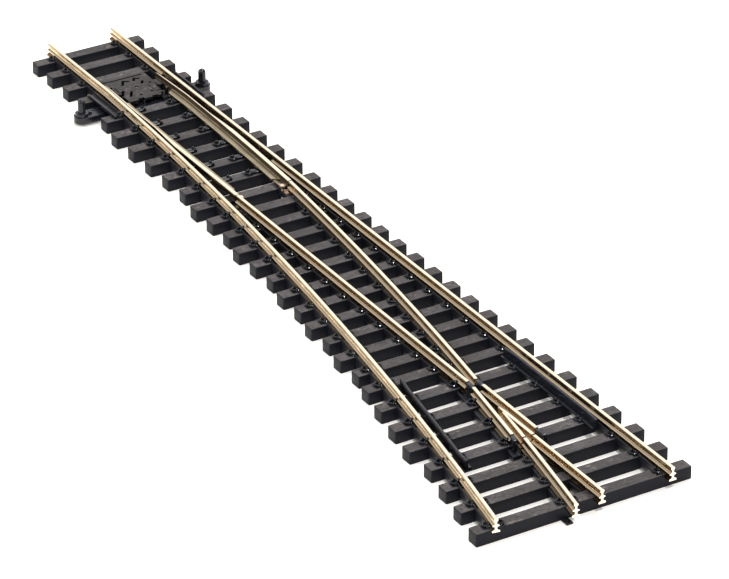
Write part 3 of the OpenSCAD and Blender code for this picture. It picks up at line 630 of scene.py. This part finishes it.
def set_chairs(shape, numbers, radius, y, left=True, right=True):
    """Chair halves beside one rail on the sleepers with those numbers; a radius gives its curve."""
    x = SLEEPER_X[list(numbers)]
    yy = np.full(len(x), y) if radius is None else arc_y(radius, x)
    a = np.zeros(len(x)) if radius is None else -turn(radius, x)
    at = np.stack([x, yy, np.full(len(x), SLEEPER_TOP)], -1)
    if left:
        chairs.repeat(shape, at, a)
    if right:
        chairs.repeat(shape, at, a + math.pi)


set_chairs(low_chair, [0, 1, 2], None, RAIL_Y)
set_chairs(low_chair, [0, 1, 2], None, -RAIL_Y)
set_chairs(low_chair, range(4, 10), None, RAIL_Y, right=False)
set_chairs(low_chair, range(10, 30), None, RAIL_Y)
set_chairs(claw_chair, range(4, 15), INNER, 0, left=False)
set_chairs(low_chair, range(15, 23), INNER, 0, left=False)
set_chairs(claw_chair, range(23, 28), INNER, 0, left=False)
set_chairs(low_chair, range(28, 30), INNER, 0, left=False)
set_chairs(low_chair, range(10, 23), INNER, 0, right=False)
set_chairs(low_chair, range(27, 30), INNER, 0, right=False)
set_chairs(low_chair, range(12, 23), None, -RAIL_Y)
set_chairs(low_chair, range(12, 23), OUTER, 0)
set_chairs(claw_chair, [23], None, -RAIL_Y, left=False)
set_chairs(low_chair, [23], OUTER, 0, right=False)
set_chairs(claw_chair, [24, 25, 26], WING_LEFT, 0, left=False)
set_chairs(low_chair, [24, 25, 26], None, WING_RIGHT_Y, right=False)
set_chairs(low_chair, [27, 28, 29], OUTER, 0, left=False)
set_chairs(low_chair, [27, 28, 29], None, -RAIL_Y, right=False)
set_chairs(low_chair, [29], OUTER, 0, right=False)

# slide chairs under the blades, each with two studs just past the flange's travel
TIP_FACE = GAUGE_Y - 0.03 - 0.2
for x in SLEEPER_X[4:10]:
    y = -GAUGE_Y
    bar(chairs, x - 0.5, x + 0.5, y + 0.2, y + 2.5, SLEEPER_TOP - 0.05, BLADE_FOOT - 0.05, 0.06, 0.12)
    y = float(arc_y(OUT_FACE, x))
    bar(chairs, x - 0.5, x + 0.5, y - 2.5, min(y, TIP_FACE) - 0.1, SLEEPER_TOP - 0.05, BLADE_FOOT - 0.05,
        0.06, 0.12)
    for yy in (-GAUGE_Y + 2.22, y - 2.34):
        for dx in (-0.30, 0.30):
            dome(chairs, x + dx, yy, BLADE_FOOT - 0.07, 0.23, 0.27, 8, 3)
    chairs.repeat(low_chair, [(x, y - 1.70, SLEEPER_TOP)], [math.pi])
moulding.piece("sleepers", "base", "base_plastic", PLASTIC, ["sleeper_base"])
ribs.piece("rail_ribs", "base", "base_plastic", RIB, ["sleeper_base"])
chairs.piece("rail_chairs", "base", "base_plastic", CHAIR, ["sleeper_base"])


# ---- plastic pieces at the crossing, check rails, bridges ---------------------------------

def block(name, xa, ya, xb, yb, low, high, half=HEAD / 2):
    """A small insulating block between two rail ends: a rail-shaped section, softened at its ends."""
    t = np.array([0, 0.03, 0.1, 0.9, 0.97, 1])
    shrink = np.array([0.07, 0.02, 0, 0, 0.02, 0.07])
    path = np.stack([xa + t * (xb - xa), ya + t * (yb - ya)], -1)
    section = np.stack([rounded(half - k, low, high - k, 0.1, 3) for k in shrink])
    surface = carry(Surface(), section, path, leftward(6))
    return surface.piece(name + "_moulded", "base", "crossing_plastic", GUARD, [name])


for name, ya, yb in (("closure_insulator_left", -RAIL_Y, arc_y(WING_LEFT, WING_START)),
                     ("closure_insulator_right", arc_y(OUTER, CLOSURE_END), WING_RIGHT_Y),
                     ("wing_block_left", arc_y(WING_LEFT, WING_END) - 0.03,
                      arc_y(WING_LEFT, HEEL_START) - 0.12),
                     ("wing_block_right", WING_RIGHT_Y, WING_RIGHT_Y + 0.06)):
    low, high = span(name)
    block(name, low[0], float(ya), high[0], float(yb), low[2], high[2])


BRACKET = chair_half(1.30)


def check_rail(name, side_sign, path, side, bolts):
    """A guard rail: an upright wall with a rounded top and flared ends, a ledge behind it, bolted
    brackets on the sleepers, and low oblong pads on its track face."""
    s = Surface()
    wall = rounded(WALL, SLEEPER_TOP, span(name)[1][2], 0.12, 3)
    carry(s, wall, path, side)
    ledge = rounded(WALL, SLEEPER_TOP, SLEEPER_TOP + 0.34, 0.07, 2) + [side_sign * 0.42, 0]
    carry(s, ledge, path, side)
    for x, y, a in bolts:
        c, t = math.cos(a), math.sin(a)
        at = lambda u, v: (x + u * c - v * side_sign * t, y + u * t + v * side_sign * c)
        px, py = at(0, 0.45)
        bar(s, px - 0.45, px + 0.45, py - 0.28, py + 0.28, SLEEPER_TOP, SLEEPER_TOP + 0.36, 0.09, 0.1,
            turned=a)
        for u in (-0.30, 0.30):
            bx, by = at(u, 0.58)
            dome(s, bx, by, SLEEPER_TOP + 0.30, 0.21, 0.24, 8, 3)
    for x, y, a in bolts:
        s.repeat(BRACKET, [(x, y, SLEEPER_TOP)], [a if side_sign > 0 else a + math.pi])
    d = np.linalg.norm(np.diff(path, axis=0), axis=1)
    run = np.concatenate([[0], np.cumsum(d)])
    for place in run[-1] * np.array([0.22, 0.42, 0.62, 0.80]):   # oblong pads on the face to the stock rail
        px, py = (float(np.interp(place, run, path[:, k])) for k in (0, 1))
        y0 = py - side_sign * WALL
        bar(s, px - 0.42, px + 0.42, y0 - 0.05, y0 + 0.05, SLEEPER_TOP + 0.62, SLEEPER_TOP + 0.86,
            0.05, 0.05, lengthwise="x")
    return s.piece(name + "_moulded", "base", "crossing_plastic", GUARD, [name])


def flared(path, side, sign, length=2.25, angle=math.radians(4)):
    """The two end stretches of a guard rail turn away from the stock rail by a small angle."""
    d = np.linalg.norm(np.diff(path, axis=0), axis=1)
    run = np.concatenate([[0], np.cumsum(d)])
    near = np.minimum(run, run[-1] - run)
    shift = np.clip(length - near, 0, None) * math.tan(angle) * sign
    return path + side * shift[:, None], side


left_low, left_high = span("check_rail_left")
right_low, right_high = span("check_rail_right")
CHECK_R = INNER + HEAD / 2 + FLANGEWAY + WALL
CHECK_Y = GAUGE_Y - FLANGEWAY - WALL
p, q = flared(*curve_path(CHECK_R, left_low[0] + 0.06, left_high[0] - 0.06, 0.6), 1)
bolt_x = SLEEPER_X[23:27]
check_rail("check_rail_left", 1, p, q,
           [(x, float(arc_y(CHECK_R, x)), -float(turn(CHECK_R, x))) for x in bolt_x])
p, q = flared(*line_path(CHECK_Y, right_low[0] + 0.02, right_high[0] - 0.02, 0.6), -1)
check_rail("check_rail_right", -1, p, q, [(x, CHECK_Y, 0.0) for x in bolt_x])

for name in ("rail_bridge_left", "rail_bridge_right"):
    low, high = span(name)
    s = Surface()
    w, middle_y = (high[1] - low[1]) / 2, (low[1] + high[1]) / 2
    t = SLEEPER_TOP
    half = [(w - 0.04, t), (w, t + 0.04), (w, t + 0.40), (w - 0.05, t + 0.45), (w - 0.24, t + 0.45),
            (w - 0.29, t + 0.40), (w - 0.31, t + 0.18), (w - 0.36, t + 0.14)]
    trough = np.concatenate([half, (np.array(half) * [-1, 1])[::-1]])
    x = np.array([low[0], low[0] + 0.04, low[0] + 0.12, high[0] - 0.12, high[0] - 0.04, high[0]])
    drop = np.array([0.08, 0.02, 0, 0, 0.02, 0.08])
    section = np.repeat(trough[None], 6, 0)
    section[..., 1] -= drop[:, None] * (trough[:, 1] > t + 0.3)
    carry(s, section, np.stack([x, np.full(6, middle_y)], -1), leftward(6))
    s.piece(name + "_moulded", "base", "base_plastic", CHAIR, [name])


# ---- switch blades ------------------------------------------------------------------------

def blade(name, body, left):
    """A planed blade: thin upright edge that thickens to a full head, with a flat flange on the
    track side, cut off slantwise; a tongue with an eye for the pivot pin; a drive tab."""
    tip, heel, step = TOE + 15.4, PIVOT_X + 0.5, TOE + 33.0
    x = np.unique(np.concatenate([[tip, tip + 0.25, tip + 1, TOE + 19.7, TOE + 20.0, TOE + 20.6,
                                   heel - 2.9, heel - 2.3, heel - 2.2, heel],
                                  np.linspace(tip + 2, heel - 3, 26), np.linspace(step - 3, step + 3, 7)]))
    on_curve = np.maximum(x, SET_X)
    if left:
        face = np.where(x < SET_X, -GAUGE_Y, arc_y(INNER + HEAD / 2, on_curve))
        face = np.maximum(-GAUGE_Y, face + 0.23)
    else:
        face = np.minimum(np.where(x < SET_X, GAUGE_Y, arc_y(OUT_FACE, on_curve)), TIP_FACE)
    thick = np.interp(x, [tip, tip + 1.2, tip + 6], [0.09, 0.15, 0.2])
    head = np.maximum(thick, np.interp(x, [step - 3, step + 3], [0.2, 0.6]))
    flange = np.interp(x, [TOE + 19.7, TOE + 20.6, heel - 2.9, heel - 2.2], [0.0, 0.95, 0.95, 0.0])
    flange = np.maximum(flange, 0.004)
    top = np.interp(x, [tip, tip + 0.25, tip + 6], [TOP - 0.16, TOP - 0.09, TOP])
    r = np.minimum(0.07, head * 0.3)
    z0, z1 = BLADE_FOOT, BLADE_FOOT + 0.3
    rows = [(-thick + 0.02, z0), (flange - 0.03, z0), (flange, z0 + 0.04), (flange, z1 - 0.05),
            (flange - 0.04, z1 - 0.01), (0.05, z1), (0.0, z1 + 0.06), (0.0, top - r),
            (-r * 0.3, top - r * 0.3), (-r, top), (-head + r, top), (-head + r * 0.3, top - r * 0.3),
            (-head, top - r), (-head, top - 0.34), (-thick, top - 0.46), (-thick, z0 + 0.02)]
    section = np.stack([np.stack([a + 0 * x, b + 0 * x], -1) for a, b in rows], 1)
    section[..., 0] = np.where((section[..., 0] > 0) & (flange[:, None] < 0.01), 0.0, section[..., 0])
    if not left:
        section = (section * [-1, 1])[:, ::-1]
    surface = Surface()
    path = np.stack([x, face], -1)
    carry(surface, section, path, leftward(len(x)))
    py = PIVOT_L if left else PIVOT_R
    # tongue and eye
    bar(surface, heel - 2.6, PIVOT_X - 0.2, py - 0.3, py + 0.3, z0, z0 + 0.2, 0.05, lengthwise="x")
    a = np.radians(np.linspace(0, 360, 25))[:-1]
    ring = np.array([(0.30, z0), (0.30, z0 + 0.2), (0.46, z0 + 0.2), (0.46, z0)])
    points = np.stack([PIVOT_X + ring[None, :, 0] * np.cos(a)[:, None],
                       py + ring[None, :, 0] * np.sin(a)[:, None], np.broadcast_to(ring[:, 1], (24, 4))], -1)
    surface.add(points, grid(24, 4, closed=True))
    # drive tab, down into the tie bar
    tab_w, tab_low = 0.28, 0.6
    f = float(np.interp(TIE_X, x, face))
    y0 = f if left else f - tab_w
    bar(surface, TIE_X - 0.3, TIE_X + 0.3, y0, y0 + tab_w, tab_low, z0 + 0.2, 0.05)
    points = np.concatenate(surface.points)
    if not left:                                  # shown open: turned back about its pivot
        w = math.asin(THROW / (PIVOT_X - TIE_X))
        d = points[:, :2] - [PIVOT_X, py]
        points[:, 0] = PIVOT_X + d[:, 0] * math.cos(w) - d[:, 1] * math.sin(w)
        points[:, 1] = py + d[:, 0] * math.sin(w) + d[:, 1] * math.cos(w)
        surface.points = [points]
    return surface.piece(name + "_planed", body, "blade_metal", BLADE, [name])


blade("straight_switch_blade", "straight_blade", True)
blade("curved_switch_blade", "curved_blade", False)


# ---- small carried-over pieces: the tie bar and cover softened, the rest given new finishes ---

def soften(node, body, material, width, name):
    """A node's own shape with its points merged, flat faces joined and edges rounded."""
    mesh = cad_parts[node].data.copy()
    mesh.name = name
    work = bmesh.new()
    work.from_mesh(mesh)
    bmesh.ops.remove_doubles(work, verts=work.verts, dist=2e-6)
    bmesh.ops.dissolve_limit(work, angle_limit=math.radians(4), verts=work.verts, edges=work.edges)
    work.to_mesh(mesh)
    work.free()
    mesh.shade_smooth()
    mesh.set_sharp_from_angle(angle=math.radians(38))
    mesh.materials.clear()
    mesh.materials.append(material)
    thing = bpy.data.objects.new(name, mesh)
    bpy.context.scene.collection.objects.link(thing)
    round_off = thing.modifiers.new("round_off", "BEVEL")
    round_off.width, round_off.segments = width / 1000, 2
    round_off.limit_method, round_off.angle_limit = "ANGLE", math.radians(40)
    round_off.harden_normals = True
    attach(thing, body)
    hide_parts(node)
    return thing


soften("tie_bar", "tie_bar", BAR, 0.07, "tie_bar_moulded")
soften("spring_cover", "base", COVER, 0.035, "spring_cover_moulded")
for node, material in (("heel_pivot_pins", CONTACT), ("heel_contact_left", CONTACT),
                       ("heel_contact_right", CONTACT), ("over_centre_spring", WIRE)):
    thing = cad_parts[node]
    thing.data.materials.clear()
    thing.data.materials.append(material)


# ---- floor, light and camera --------------------------------------------------------------

def floor():
    mesh = bpy.data.meshes.new("floor")
    h = 3.0
    mesh.from_pydata([(-h, -h, 0), (h, -h, 0), (h, h, 0), (-h, h, 0)], [], [(0, 1, 2, 3)])
    f = Finish("pale_floor")
    faint = f.noise(f.place((0.01, 0.01, 0.01)), 1.0, 3, 0.5)
    tone = f.mix((0.96, 0.915, 0.87), (0.98, 0.94, 0.90), faint)
    mesh.materials.append(f.set(Base_Color=tone, Roughness=0.9, Emission_Color=(1, 0.97, 0.94, 1),
                                Emission_Strength=0.16))
    thing = bpy.data.objects.new("floor", mesh)
    bpy.context.scene.collection.objects.link(thing)


def level_axes(forward):
    """The level direction to the right of a line of sight, and the one upward from both."""
    right = np.cross(forward, [0, 0, 1.0])
    right /= np.linalg.norm(right)
    return right, np.cross(right, forward)


def lamp(name, place, aim, size, power, colour=(1, 1, 1)):
    light = bpy.data.lights.new(name, "AREA")
    light.shape, light.size, light.energy, light.color = "DISK", size, power, colour
    thing = bpy.data.objects.new(name, light)
    d = np.array(aim, float) - np.array(place, float)
    d /= np.linalg.norm(d)
    r, u = level_axes(d)
    m = np.eye(4)
    m[:3, 0], m[:3, 1], m[:3, 2], m[:3, 3] = r, u, -d, place
    thing.matrix_world = Matrix(m.tolist())
    bpy.context.scene.collection.objects.link(thing)


floor()
lamp("key", (-0.30, 0.50, 0.9), (0, 0, 0), 0.35, 9.0)
lamp("far_panel", (-0.91, 0.53, 0.575), (0, 0, 0), 0.8, 0.80, (1, 0.965, 0.90))
lamp("glint", (0.55, -0.1, 0.9), (0, 0, 0), 0.09, 5.0)
lamp("fill", (-0.35, -0.9, 0.45), (0, 0, 0), 0.6, 6.0, (1, 0.97, 0.93))
world = bpy.data.worlds.new("studio")
bpy.context.scene.world = world
world.use_nodes = True
world.node_tree.nodes["Background"].inputs[0].default_value = (1, 1, 1, 1)
world.node_tree.nodes["Background"].inputs[1].default_value = 0.72
bpy.context.scene.view_settings.view_transform = "Standard"

camera = bpy.data.cameras.new("camera")
camera.sensor_fit, camera.sensor_width, camera.lens = "HORIZONTAL", 36, 216.05
camera.clip_start, camera.clip_end = 0.01, 20
azimuth, elevation, roll, away = 1.04033, 0.49991, -0.00707, 0.540465
target = np.array([TOE / 1000 + 0.077813, -0.000959, (SLEEPER_TOP - 1.6) / 1000])
d = np.array([math.sin(azimuth) * math.cos(elevation), -math.cos(azimuth) * math.cos(elevation),
              math.sin(elevation)])
r, u = level_axes(-d)
m = np.eye(4)
m[:3, 0], m[:3, 1] = math.cos(roll) * r + math.sin(roll) * u, -math.sin(roll) * r + math.cos(roll) * u
m[:3, 2], m[:3, 3] = d, target + d * away
eye = bpy.data.objects.new("camera", camera)
eye.matrix_world = Matrix(m.tolist())
bpy.context.scene.collection.objects.link(eye)
bpy.context.scene.camera = eye
